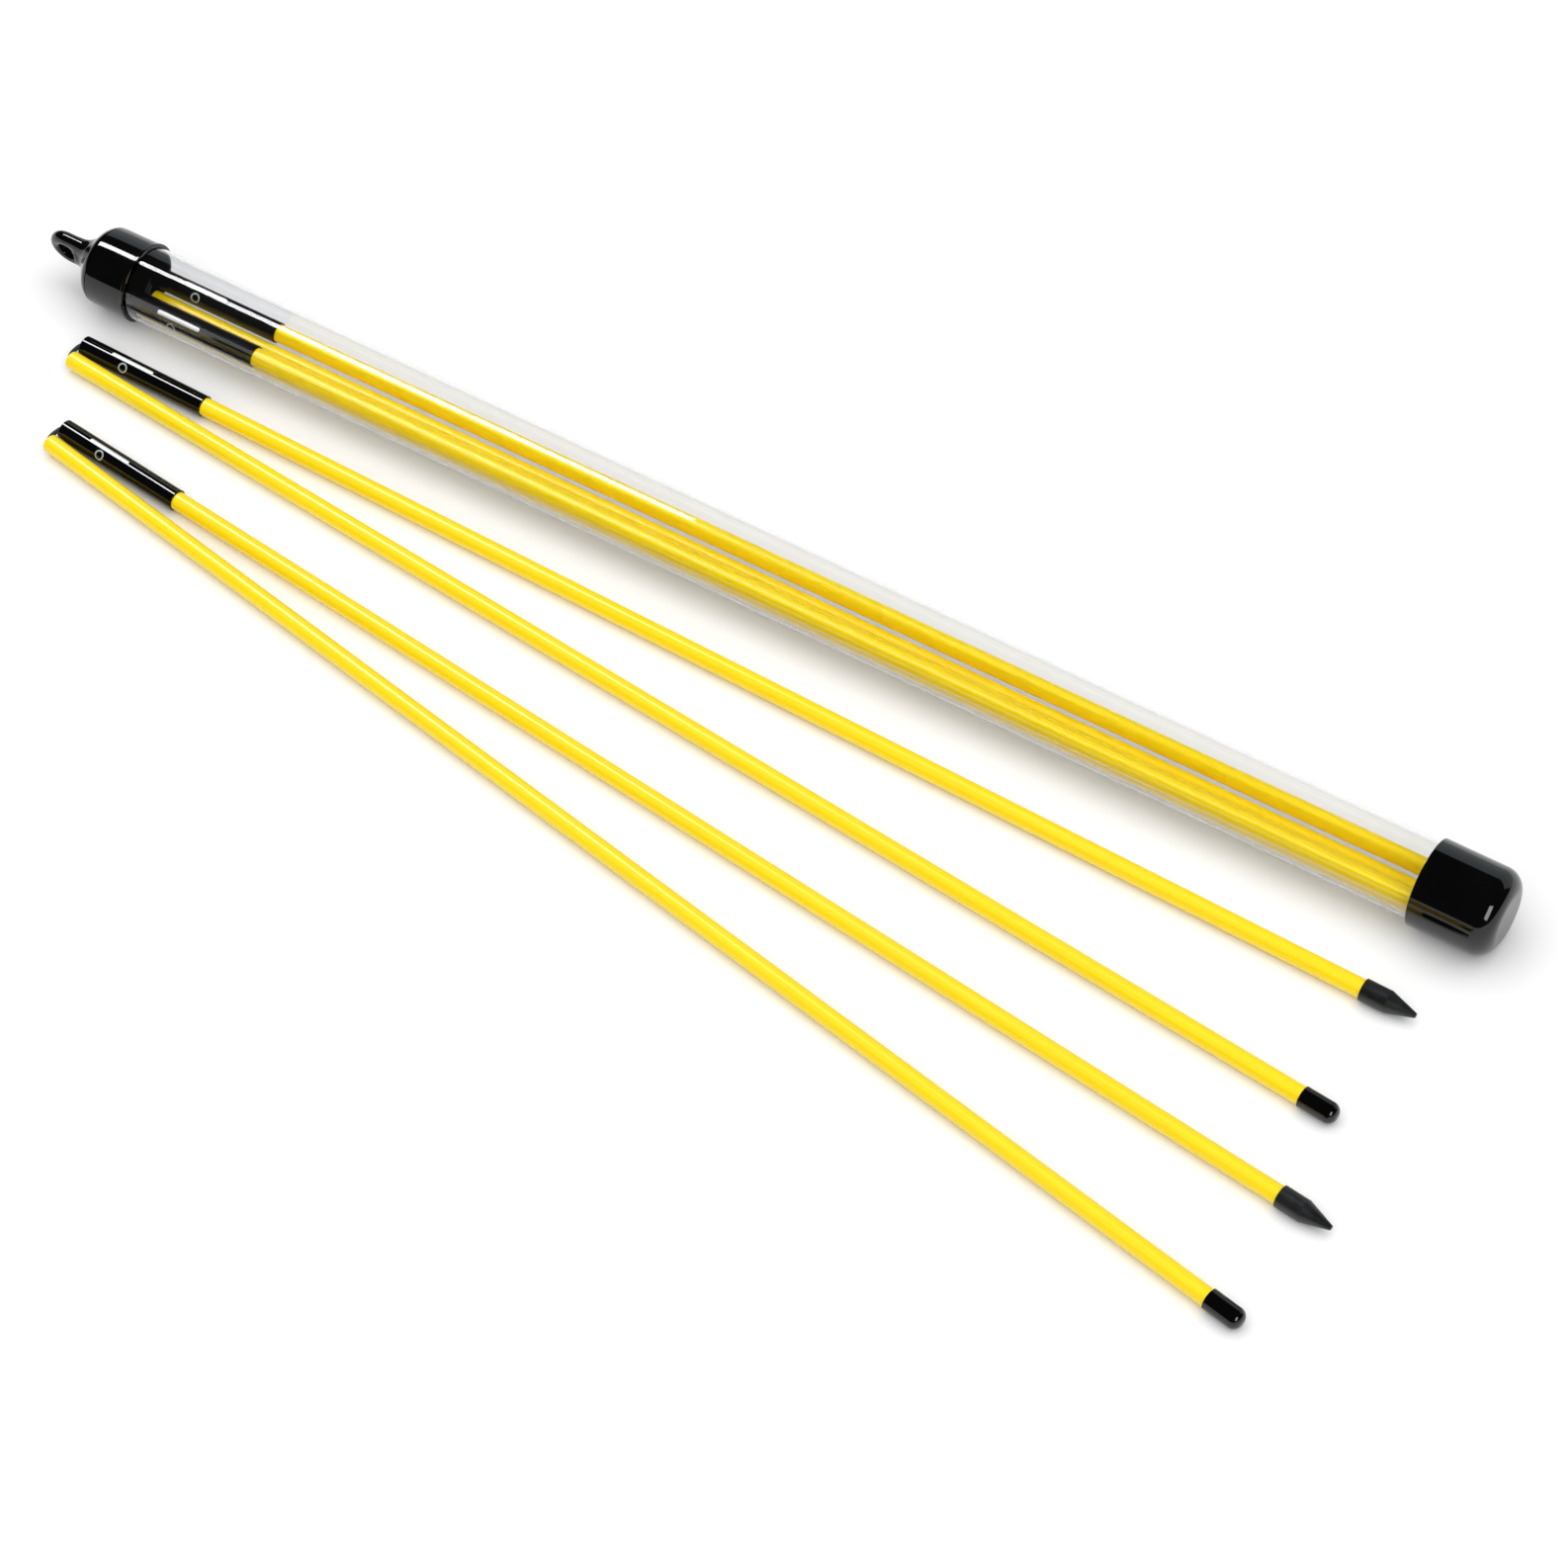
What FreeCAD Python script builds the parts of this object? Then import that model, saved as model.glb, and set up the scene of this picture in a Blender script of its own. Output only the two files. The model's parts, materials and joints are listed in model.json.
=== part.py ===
"""Folding golf alignment sticks with their clear storage tube.

The set is one tube with two push-on vinyl caps, two folded sticks stored in the tube and two
folded sticks laid out beside it. Every stick is the same: two hollow rods that an elastic cord
holds together, a sleeve that joins them end to end, a point tip and a round cap.

Frame: millimetres, +X along the tube from the hanger cap to the end cap, +Z up, origin at the
bottom centre of the whole set as it lies on a table.
"""
import FreeCAD, Part
import math
import os
import Sketcher

from FreeCAD import Placement, Rotation, Vector

X_AXIS = Vector(1, 0, 0)
Z_AXIS = Vector(0, 0, 1)
HALF_TURN = 180
FULL_TURN = 360
SAME = 1e-4              # lengths closer than this are the same
VOLUME_TOLERANCE = 0.01  # share by which a swept cord's volume may be off

# Driving dimensions in millimetres and degrees, each an aliased cell of the sheet "dim".
DIMENSIONS = {
    # clear storage tube
    "tube_diameter": 31.75,
    "tube_wall": 0.7,
    "tube_length": 635.0,
    # push-on caps of the tube
    "cap_clearance": 0.05,
    "bead_diameter": 34.4,
    "hanger_diameter": 33.6,
    "hanger_length": 48.4,
    "hanger_grip": 18.0,
    "hanger_barrel": 21.2,
    "hanger_shoulder_end": 28.0,
    "hanger_shoulder_diameter": 16.6,
    "hanger_hollow": 9.0,
    "hanger_round": 6.0,
    "neck_diameter": 10.4,
    "neck_point_diameter": 3.6,
    "neck_point_length": 1.5,
    "neck_inset": 0.3,
    "bead_width": 1.6,
    "eye_diameter": 18.2,
    "eye_hole": 8.6,
    "eye_thickness": 5.4,
    "eye_tilt": 76.0,
    "end_cap_diameter": 35.4,
    "end_cap_length": 33.4,
    "end_cap_grip": 27.9,
    "end_cap_floor": 1.4,
    "end_cap_round": 8.0,
    "lip_round": 0.25,
    # one stick
    "stick_length": 620.0,
    "rod_diameter": 7.6,
    "rod_bore": 4.6,
    "rod_end_round": 0.8,
    "sleeve_diameter": 9.0,
    "sleeve_length": 62.0,
    "socket_depth": 30.0,
    "socket_clearance": 0.08,
    "tip_length": 22.0,
    "tip_barrel": 10.4,
    "tip_end_diameter": 1.9,
    "tip_bore": 9.0,
    "tip_round": 0.4,
    "round_cap_diameter": 8.6,
    "round_cap_length": 15.0,
    "round_cap_floor": 3.0,
    "round_cap_dome": 3.6,
    # elastic cord and the plugs that anchor it
    "cord_diameter": 2.0,
    "cord_bend": 2.2,
    "cord_reach": 1.2,
    "knot_diameter": 3.6,
    "anchor_length": 8.0,
    "anchor_inset": 5.0,
    # how the sticks lie
    "laid_spacing": 9.0,
    "stored_spacing": 9.0,
    "stored_radius": 10.35,
}

# Laid-out sticks: the sleeve's mouth measured from the middle of the tube, the heading of the
# point rod, and how far the cap rod stands open from it.
LAID_STICKS = {
    "mid": {"x": -308.5, "y": -32.8, "heading": -1.4, "opening": 4.3},
    "front": {"x": -286.7, "y": -74.7, "heading": -6.7, "opening": 4.0},
}
# Stored sticks: the sleeve's mouth measured from the tube's hanger end, where the point rod lies
# round the tube's axis, the roll that turns the cap rod to its side, and how far the cap rod lies
# ahead of the sleeve's mouth.
STORED_STICKS = {
    "stored_rear": {"start": 15.6, "around": -27.5, "roll": 38.0, "ahead": 3.0},
    "stored_front": {"start": 18.6, "around": 180.0, "roll": 114.5, "ahead": 0.0},
}

# Far end of each rod from its own frame's origin.
POINT_ROD_END = "dim.stick_length - dim.tip_length + dim.tip_bore"
CAP_ROD_END = "dim.stick_length - dim.round_cap_floor"


def make_sheet(doc):
    """The sheet of driving dimensions: a plain number in each cell, its name as the alias."""
    sheet = doc.addObject("Spreadsheet::Sheet", "dim")
    for row, (alias, number) in enumerate(DIMENSIONS.items(), start=1):
        sheet.set(f"A{row}", alias)
        sheet.set(f"B{row}", str(number))
        sheet.setAlias(f"B{row}", alias)
    doc.recompute()
    return sheet


def number(doc, expression):
    """What an expression over the sheet's cells comes to."""
    return float(doc.dim.evalExpression(expression))


def new_body(doc, label):
    body = doc.addObject("PartDesign::Body", label)
    body.Label = label
    return body


def origin_plane(body, role):
    return next(item for item in body.Origin.OriginFeatures if item.Role == role)


def new_sketch(body, name, role):
    """An empty sketch on one of the body's own origin planes."""
    sketch = body.newObject("Sketcher::SketchObject", name)
    sketch.AttachmentSupport = [(origin_plane(body, role), "")]
    sketch.MapMode = "FlatFace"
    return sketch


def hollow_arc(here, there, radius):
    """The short arc between two points whose centre is on the left of the way from one to the other."""
    chord = there - here
    left = Vector(-chord.y, chord.x, 0).normalize()
    rise = radius - math.sqrt(radius ** 2 - (chord.Length / 2) ** 2)
    return Part.Arc(here, here + chord * 0.5 - left * rise, there)


def turn(body, corners, hollows=()):
    """Revolve a closed outline about the body's X axis.

    A corner is (along, radius). hollows holds pairs of a corner's index and the radius of the
    arc that runs from it to the next corner, in place of a straight edge.
    """
    doc = body.Document
    sketch = new_sketch(body, "Outline", "XY_Plane")
    points = [Vector(number(doc, along), number(doc, radius), 0) for along, radius in corners]
    arcs = dict(hollows)
    ends = []
    for index, here in enumerate(points):
        there = points[(index + 1) % len(points)]
        start, end = 1, 2
        if index in arcs:
            edge = hollow_arc(here, there, number(doc, arcs[index]))
            if edge.StartPoint.distanceToPoint(here) > SAME:
                start, end = end, start
        else:
            edge = Part.LineSegment(here, there)
        sketch.addGeometry(edge, False)
        ends.append((start, end))
    for index, (start, end) in enumerate(ends):
        after = (index + 1) % len(ends)
        sketch.addConstraint(Sketcher.Constraint("Coincident", index, end, after, ends[after][0]))
    for index, (along, radius) in enumerate(corners):
        for kind, place, size in (("DistanceX", points[index].x, along),
                                  ("DistanceY", points[index].y, radius)):
            constraint = Sketcher.Constraint(kind, -1, 1, index, ends[index][0], place)
            bind(sketch, constraint, f"{kind}{index}", size)
    for index, radius in hollows:
        constraint = Sketcher.Constraint("Radius", index, number(doc, radius))
        bind(sketch, constraint, f"Hollow{index}", radius)
    feature = body.newObject("PartDesign::Revolution", "Turned")
    feature.Profile = sketch
    feature.ReferenceAxis = (sketch, ["H_Axis"])
    feature.Angle = FULL_TURN
    doc.recompute()
    return feature


def bind(sketch, constraint, name, expression):
    """Add a named constraint whose size is an expression."""
    row = sketch.addConstraint(constraint)
    sketch.renameConstraint(row, name)
    sketch.setExpression(f"Constraints.{name}", expression)


def hoops(shape, along, radius):
    """Names of the round edges about the X axis at one place along it."""
    names = []
    for index, edge in enumerate(shape.Edges, start=1):
        curve = edge.Curve
        if not isinstance(curve, Part.Circle):
            continue
        if abs(curve.Center.x - along) < SAME and abs(curve.Radius - radius) < SAME:
            names.append(f"Edge{index}")
    return names


def round_off(body, radius, places):
    """Fillet the hoops at the given (along, radius) places."""
    doc = body.Document
    base = body.Tip
    names = []
    for along, hoop in places:
        found = hoops(base.Shape, number(doc, along), number(doc, hoop))
        if not found:
            raise ValueError(f"{body.Label} has no edge at {along}, {hoop}")
        names += found
    feature = body.newObject("PartDesign::Fillet", "Rounded")
    feature.Base = (base, names)
    feature.Refine = False
    feature.setExpression("Radius", radius)
    doc.recompute()


def add_ball(body, along, diameter):
    """A ball on the body's X axis, fused to what is there."""
    ball = body.newObject("PartDesign::AdditiveSphere", "Ball")
    ball.AttachmentSupport = [(origin_plane(body, "YZ_Plane"), "")]
    ball.MapMode = "FlatFace"
    ball.setExpression(".AttachmentOffset.Base.z", along)
    ball.setExpression("Radius", f"{diameter} / 2")
    body.Document.recompute()


# ---------------------------------------------------------------- tube and its caps

def storage_tube(doc):
    """Clear tube, modelled about its middle."""
    body = new_body(doc, "storage_tube")
    outer = "dim.tube_diameter / 2"
    inner = "dim.tube_diameter / 2 - dim.tube_wall"
    half = "dim.tube_length / 2"
    turn(body, [(f"-{half}", inner), (f"-{half}", outer), (half, outer), (half, inner)])
    return body


def add_eye(body):
    """The hanging eye at the tip of the hanger cap: a round ring with a straight hole through it."""
    doc = body.Document
    centre = "dim.hanger_length - dim.eye_diameter / 2"
    ring = body.newObject("PartDesign::AdditiveTorus", "EyeRing")
    ring.AttachmentSupport = [(origin_plane(body, "XY_Plane"), "")]
    ring.MapMode = "FlatFace"
    ring.Refine = False
    ring.setExpression(".AttachmentOffset.Base.x", centre)
    ring.setExpression("Radius1", "dim.eye_diameter / 2 - dim.eye_thickness / 2")
    ring.setExpression("Radius2", "dim.eye_thickness / 2")
    sketch = new_sketch(body, "EyeHole", "XY_Plane")
    place = Vector(number(doc, centre), 0, 0)
    sketch.addGeometry(Part.Circle(place, Z_AXIS, number(doc, "dim.eye_hole / 2")), False)
    sketch.addConstraint(Sketcher.Constraint("PointOnObject", 0, 3, -1))
    bind(sketch, Sketcher.Constraint("DistanceX", -1, 1, 0, 3, place.x), "FromMouth", centre)
    width = Sketcher.Constraint("Diameter", 0, number(doc, "dim.eye_hole"))
    bind(sketch, width, "Width", "dim.eye_hole")
    doc.recompute()
    before = ring.Shape.Volume
    bore = body.newObject("PartDesign::Pocket", "EyeBore")
    bore.Profile = sketch
    bore.Midplane = True
    bore.Type = "ThroughAll"
    bore.Refine = False
    doc.recompute()
    if bore.Shape.Volume >= before:
        raise ValueError("the eye's hole cuts nothing")


def hanger_cap(doc):
    """Vinyl cap with a hanging eye. Its mouth is at x = 0 and its eye towards +X."""
    body = new_body(doc, "hanger_cap")
    bead = "dim.bead_diameter / 2"
    barrel = "dim.hanger_diameter / 2"
    bore = "dim.tube_diameter / 2 + dim.cap_clearance"
    neck_end = "dim.hanger_length - dim.eye_diameter / 2 - dim.eye_hole / 2 - dim.neck_inset"
    turn(body, [("0", bore),
                ("0", bead),
                ("dim.bead_width", bead),
                ("dim.bead_width", barrel),
                ("dim.hanger_barrel", barrel),
                ("dim.hanger_shoulder_end", "dim.hanger_shoulder_diameter / 2"),
                (f"{neck_end} - dim.neck_point_length", "dim.neck_diameter / 2"),
                (neck_end, "dim.neck_point_diameter / 2"),
                (neck_end, "0"),
                ("dim.hanger_grip", "0"),
                ("dim.hanger_grip", bore)],
         hollows=[(5, "dim.hanger_hollow")])
    round_off(body, "dim.hanger_round", [("dim.hanger_barrel", barrel)])
    round_off(body, "dim.lip_round", [("0", bead)])
    add_eye(body)
    return body


def end_cap(doc):
    """Plain vinyl cup. Its mouth is at x = 0 and its closed end towards +X."""
    body = new_body(doc, "end_cap")
    outer = "dim.end_cap_diameter / 2"
    bore = "dim.tube_diameter / 2 + dim.cap_clearance"
    floor = "dim.end_cap_length - dim.end_cap_floor"
    turn(body, [("0", bore),
                ("0", outer),
                ("dim.end_cap_length", outer),
                ("dim.end_cap_length", "0"),
                (floor, "0"),
                (floor, bore)])
    round_off(body, "dim.end_cap_round", [("dim.end_cap_length", outer)])
    round_off(body, f"{floor} - dim.end_cap_grip", [(floor, bore)])
    round_off(body, "dim.lip_round", [("0", outer)])
    return body


# ---------------------------------------------------------------- one stick
# The point rod's pieces share a frame with the sleeve's mouth at x = 0, the cap rod's pieces one
# with the cap rod's open end at x = 0. Both rods run towards +X.

def rod(doc, label, start, end):
    body = new_body(doc, label)
    outer = "dim.rod_diameter / 2"
    inner = "dim.rod_bore / 2"
    turn(body, [(start, inner), (start, outer), (end, outer), (end, inner)])
    return body


def point_rod(doc, label):
    """Rod between the stop inside the sleeve and the bottom of the tip's bore."""
    return rod(doc, label, "dim.socket_depth", POINT_ROD_END)


def cap_rod(doc, label):
    """Rod whose rounded open end plugs into the sleeve."""
    body = rod(doc, label, "0", CAP_ROD_END)
    round_off(body, "dim.rod_end_round", [("0", "dim.rod_diameter / 2")])
    return body


def sleeve(doc, label):
    """Joining sleeve: a socket for the cap rod, and a closer bore where the point rod is glued."""
    body = new_body(doc, label)
    outer = "dim.sleeve_diameter / 2"
    glued = "dim.rod_diameter / 2"
    socket = "dim.rod_diameter / 2 + dim.socket_clearance"
    turn(body, [("0", socket),
                ("0", outer),
                ("dim.sleeve_length", outer),
                ("dim.sleeve_length", glued),
                ("dim.socket_depth", glued),
                ("dim.socket_depth", socket)])
    round_off(body, "dim.lip_round", [("0", outer), ("dim.sleeve_length", outer)])
    return body


def point_tip(doc, label):
    """Moulded tip: a barrel over the rod's end and a cone for pushing into the ground."""
    body = new_body(doc, label)
    start = "dim.stick_length - dim.tip_length"
    barrel_end = f"{start} + dim.tip_barrel"
    outer = "dim.sleeve_diameter / 2"
    bore = "dim.rod_diameter / 2"
    blunt = "dim.tip_end_diameter / 2"
    turn(body, [(start, bore),
                (start, outer),
                (barrel_end, outer),
                ("dim.stick_length", blunt),
                ("dim.stick_length", "0"),
                (POINT_ROD_END, "0"),
                (POINT_ROD_END, bore)])
    round_off(body, "dim.tip_round", [("dim.stick_length", blunt), (barrel_end, outer)])
    return body


def round_cap(doc, label):
    """Dipped vinyl cap with a domed end over the cap rod."""
    body = new_body(doc, label)
    start = "dim.stick_length - dim.round_cap_length"
    outer = "dim.round_cap_diameter / 2"
    bore = "dim.rod_diameter / 2"
    turn(body, [(start, bore),
                (start, outer),
                ("dim.stick_length", outer),
                ("dim.stick_length", "0"),
                (CAP_ROD_END, "0"),
                (CAP_ROD_END, bore)])
    round_off(body, "dim.round_cap_dome", [("dim.stick_length", outer)])
    return body


def anchor(doc, label, rod_end):
    """Plug pressed into a rod's far end, with a hole that the cord's knot can't pass."""
    body = new_body(doc, label)
    end = f"{rod_end} - dim.anchor_inset"
    start = f"{end} - dim.anchor_length"
    turn(body, [(start, "dim.cord_diameter / 2"),
                (start, "dim.rod_bore / 2"),
                (end, "dim.rod_bore / 2"),
                (end, "dim.cord_diameter / 2")])
    return body


def straight_cord(doc, label, start, rod_end):
    """Cord inside one rod, from its open end to the knot behind the anchor."""
    body = new_body(doc, label)
    knot = f"{rod_end} - dim.anchor_inset + dim.knot_diameter / 2"
    turn(body, [(start, "0"),
                (start, "dim.cord_diameter / 2"),
                (knot, "dim.cord_diameter / 2"),
                (knot, "0")])
    add_ball(body, knot, "dim.knot_diameter")
    return body


def cord_route(doc, start, end, cap_frame):
    """Straight runs joined by tangent arcs, out of the sleeve and back into the cap rod.

    cap_frame places the cap rod in the point rod's frame. start is on the point rod's axis and
    end on the cap rod's. The cord crosses in front of the sleeve's mouth, so a cap rod that lies
    further in gets a longer run.
    """
    reach = number(doc, "dim.cord_reach")
    bend = number(doc, "dim.cord_bend")
    route = [Vector(start, 0, 0),
             Vector(-reach, 0, 0),
             cap_frame.multVec(Vector(-reach - cap_frame.Base.x, 0, 0)),
             cap_frame.multVec(Vector(end, 0, 0))]
    edges = []
    here = route[0]
    for before, corner, after in zip(route, route[1:], route[2:]):
        back = (before - corner).normalize()
        ahead = (after - corner).normalize()
        half = back.getAngle(ahead) / 2
        leg = bend / math.tan(half)
        middle = (back + ahead).normalize()
        inner = corner + middle * (bend / math.sin(half) - bend)
        first = corner + back * leg
        last = corner + ahead * leg
        edges.append(Part.makeLine(here, first))
        edges.append(Part.Arc(first, inner, last).toShape())
        here = last
    edges.append(Part.makeLine(here, route[-1]))
    return Part.Wire(edges)


def swept_cord(doc, label, wire):
    """A round cord along a wire that starts on the X axis, as a plain feature.

    Its arcs meet the runs at angles that change with the stick's opening, so it is swept.
    """
    radius = number(doc, "dim.cord_diameter / 2")
    section = Part.Wire([Part.makeCircle(radius, wire.Edges[0].Vertexes[0].Point, X_AXIS)])
    shape = wire.makePipeShell([section], True, True)
    expected = math.pi * radius ** 2 * wire.Length
    if abs(shape.Volume - expected) > VOLUME_TOLERANCE * expected:
        raise ValueError(f"{label} has the wrong volume")
    feature = doc.addObject("Part::Feature", label)
    feature.Label = label
    feature.Shape = shape
    return feature


def cord_loop(doc, label, cap_frame):
    """The cord from the point rod's end, out of the sleeve and into the cap rod's mouth."""
    start = number(doc, "dim.socket_depth")
    end = number(doc, "dim.cord_reach")
    return swept_cord(doc, label, cord_route(doc, start, end, cap_frame))


def whole_cord(doc, label, cap_frame):
    """The whole cord of a stored stick, with a knot behind each anchor."""
    knots = [number(doc, f"{end} - dim.anchor_inset + dim.knot_diameter / 2")
             for end in (POINT_ROD_END, CAP_ROD_END)]
    feature = swept_cord(doc, label, cord_route(doc, knots[0], knots[1], cap_frame))
    radius = number(doc, "dim.knot_diameter / 2")
    places = [Vector(knots[0], 0, 0), cap_frame.multVec(Vector(knots[1], 0, 0))]
    balls = [Part.makeSphere(radius, place) for place in places]
    feature.Shape = feature.Shape.fuse(balls).removeSplitter()
    return feature


def make_stick(doc, name, frame, cap_frame, folds):
    """All pieces of one stick, placed. A stick that folds has its cord in three lengths."""
    point_side = [point_rod(doc, f"{name}_point_rod"),
                  sleeve(doc, f"{name}_sleeve"),
                  point_tip(doc, f"{name}_point_tip"),
                  anchor(doc, f"{name}_point_anchor", POINT_ROD_END)]
    cap_side = [cap_rod(doc, f"{name}_cap_rod"),
                round_cap(doc, f"{name}_round_cap"),
                anchor(doc, f"{name}_cap_anchor", CAP_ROD_END)]
    if folds:
        point_side += [straight_cord(doc, f"{name}_point_cord", "dim.socket_depth", POINT_ROD_END),
                       cord_loop(doc, f"{name}_cord_loop", cap_frame)]
        cap_side.append(straight_cord(doc, f"{name}_cap_cord", "dim.cord_reach", CAP_ROD_END))
    else:
        point_side.append(whole_cord(doc, f"{name}_cord", cap_frame))
    for piece in point_side:
        piece.Placement = frame
    for piece in cap_side:
        piece.Placement = frame.multiply(cap_frame)
    return point_side + cap_side


# ---------------------------------------------------------------- the set

def tube_frame(doc):
    """The tube's axis, at the height where the wider end cap rests on the table."""
    return Placement(Vector(0, 0, number(doc, "dim.end_cap_diameter / 2")), Rotation())


def laid_frames(doc, lie):
    """Frames of a laid-out stick's point rod and, within it, its cap rod."""
    place = Vector(lie["x"], lie["y"], number(doc, "dim.sleeve_diameter / 2"))
    frame = Placement(place, Rotation(Z_AXIS, lie["heading"]))
    spacing = Vector(0, -number(doc, "dim.laid_spacing"), 0)
    return frame, Placement(spacing, Rotation(Z_AXIS, -lie["opening"]))


def stored_frames(doc, lie):
    """Frames of a stored stick's point rod and, within it, its cap rod."""
    around = math.radians(lie["around"])
    radius = number(doc, "dim.stored_radius")
    start = lie["start"] - number(doc, "dim.tube_length / 2")
    place = Vector(start, radius * math.cos(around), radius * math.sin(around))
    frame = tube_frame(doc).multiply(Placement(place, Rotation(X_AXIS, lie["roll"])))
    spacing = Vector(lie["ahead"], -number(doc, "dim.stored_spacing"), 0)
    return frame, Placement(spacing, Rotation())


def place_tube_pieces(doc, tube, hanger, end):
    half = number(doc, "dim.tube_length / 2")
    hanger_mouth = Vector(number(doc, "dim.hanger_grip") - half, 0, 0)
    end_mouth = Vector(half - number(doc, "dim.end_cap_grip"), 0, 0)
    tilt = Rotation(X_AXIS, number(doc, "dim.eye_tilt"))
    frame = tube_frame(doc)
    tube.Placement = frame
    turned_round = Rotation(Z_AXIS, HALF_TURN).multiply(tilt)
    hanger.Placement = frame.multiply(Placement(hanger_mouth, turned_round))
    end.Placement = frame.multiply(Placement(end_mouth, Rotation()))


def centre_set(pieces):
    """Move every piece so that the origin is at the bottom centre of the set."""
    box = FreeCAD.BoundBox()
    for piece in pieces:
        box.add(piece.Shape.optimalBoundingBox(False, False))
    shift = Placement(Vector(-box.Center.x, -box.Center.y, -box.ZMin), Rotation())
    for piece in pieces:
        piece.Placement = shift.multiply(piece.Placement)
    return shift


def check(doc, pieces):
    """Stop if any object failed to build or any piece isn't one valid closed solid."""
    for item in doc.Objects:
        if "Invalid" in item.State or "Error" in item.State:
            raise ValueError(f"{item.Label}: {item.State}")
    for piece in pieces:
        shape = piece.Shape
        if shape.isNull() or not shape.isValid() or len(shape.Solids) != 1:
            raise ValueError(f"{piece.Label} isn't one valid solid")


def build():
    """Make the document. Returns it with its pieces and the shift that centres the set."""
    doc = FreeCAD.newDocument("alignment_sticks")
    make_sheet(doc)
    tube, hanger, end = storage_tube(doc), hanger_cap(doc), end_cap(doc)
    place_tube_pieces(doc, tube, hanger, end)
    pieces = [tube, hanger, end]
    for name, lie in LAID_STICKS.items():
        frame, cap_frame = laid_frames(doc, lie)
        pieces += make_stick(doc, name, frame, cap_frame, folds=True)
    for name, lie in STORED_STICKS.items():
        frame, cap_frame = stored_frames(doc, lie)
        pieces += make_stick(doc, name, frame, cap_frame, folds=False)
    doc.recompute()
    shift = centre_set(pieces)
    doc.recompute()
    check(doc, pieces)
    return doc, pieces, shift


def main():
    doc, pieces, shift = build()
    os.makedirs("parts", exist_ok=True)
    for piece in pieces:
        piece.Shape.exportStep(os.path.join("parts", f"{piece.Label}.step"))
        print(piece.Label, round(piece.Shape.Volume, 1))
    print("set moved by", shift.Base)
    return doc, pieces, shift


main()
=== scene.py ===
"""Looks of the folding alignment sticks and their clear storage tube."""

import json
import math

import bmesh
import bpy
import numpy as np
from mathutils import Matrix, Vector


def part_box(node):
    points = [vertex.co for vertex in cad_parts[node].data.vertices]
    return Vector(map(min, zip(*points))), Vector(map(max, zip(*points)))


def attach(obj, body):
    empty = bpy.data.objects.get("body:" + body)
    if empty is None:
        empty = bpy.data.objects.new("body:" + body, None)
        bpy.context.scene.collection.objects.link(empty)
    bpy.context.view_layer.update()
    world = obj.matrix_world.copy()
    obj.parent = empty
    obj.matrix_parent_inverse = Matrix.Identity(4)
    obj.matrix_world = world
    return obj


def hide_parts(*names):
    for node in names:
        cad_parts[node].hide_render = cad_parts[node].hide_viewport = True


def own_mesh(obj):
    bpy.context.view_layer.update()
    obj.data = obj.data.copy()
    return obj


LAID = ("mid", "front")
STORED = ("stored_rear", "stored_front")

# Camera: where it stands from the middle of the tube, in metres, and the way it looks.
CAMERA_STAND = Vector((0.68352, -1.07844, 1.4268))
CAMERA_AHEAD = Vector((-0.3363, 0.5375, -0.7733))
LENS = 112.6
SENSOR = 36
FLOOR_RADIUS = 14
FLOOR_SIDES = 64
FLOOR_DROP = 0.0002       # keeps the floor from meeting what rests on it
WORLD_LIGHT = 0.045

# One stick, in metres
SLEEVE_LENGTH = 0.062
SLEEVE_RADIUS = 0.0045
ROD_RADIUS = 0.0038
SOCKET_DEPTH = 0.030
CORD_RADIUS = 0.001
CORD_REACH = 0.0012       # how far the cord runs straight out of a rod before it bends
BRAID_DEPTH = 0.00012
BRAID_PITCH = 0.0026
BRAID_STRANDS = 4         # strands that wind each way
BRAID_ROWS = 12           # rows of points in one pitch
CORD_SIDES = 24

# The mark printed on a sleeve, in metres, measured from the sleeve's mouth
BAR_LENGTH, BAR_WIDTH, BAR_PLACE = 0.021, 0.0018, 0.0255
RING_OUTER, RING_INNER, RING_PLACE = 0.0022, 0.0015, 0.0225
INK_RISE = 0.00004        # above the sleeve's skin
INK_SINK = 0.00002        # below it, so that no gap shows

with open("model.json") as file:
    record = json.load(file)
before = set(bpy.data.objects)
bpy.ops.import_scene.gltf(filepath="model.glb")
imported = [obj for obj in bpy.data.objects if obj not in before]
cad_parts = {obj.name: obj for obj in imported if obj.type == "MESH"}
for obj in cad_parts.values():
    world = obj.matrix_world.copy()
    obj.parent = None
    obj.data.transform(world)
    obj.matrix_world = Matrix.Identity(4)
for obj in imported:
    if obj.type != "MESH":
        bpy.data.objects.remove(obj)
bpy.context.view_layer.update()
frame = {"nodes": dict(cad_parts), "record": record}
nodes = frame["nodes"]


def middle(node):
    low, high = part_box(node)
    return (low + high) / 2


# ---------------------------------------------------------------- camera, floor and lights

def add_camera():
    """A long lens, from the right front and above."""
    data = bpy.data.cameras.new("camera")
    data.sensor_width = SENSOR
    data.lens = LENS
    data.clip_start = 0.05
    data.clip_end = 50
    camera = bpy.data.objects.new("camera", data)
    bpy.context.scene.collection.objects.link(camera)
    camera.location = middle("storage_tube") + CAMERA_STAND
    camera.rotation_euler = CAMERA_AHEAD.to_track_quat("-Z", "Y").to_euler()
    bpy.context.scene.camera = camera


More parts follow.
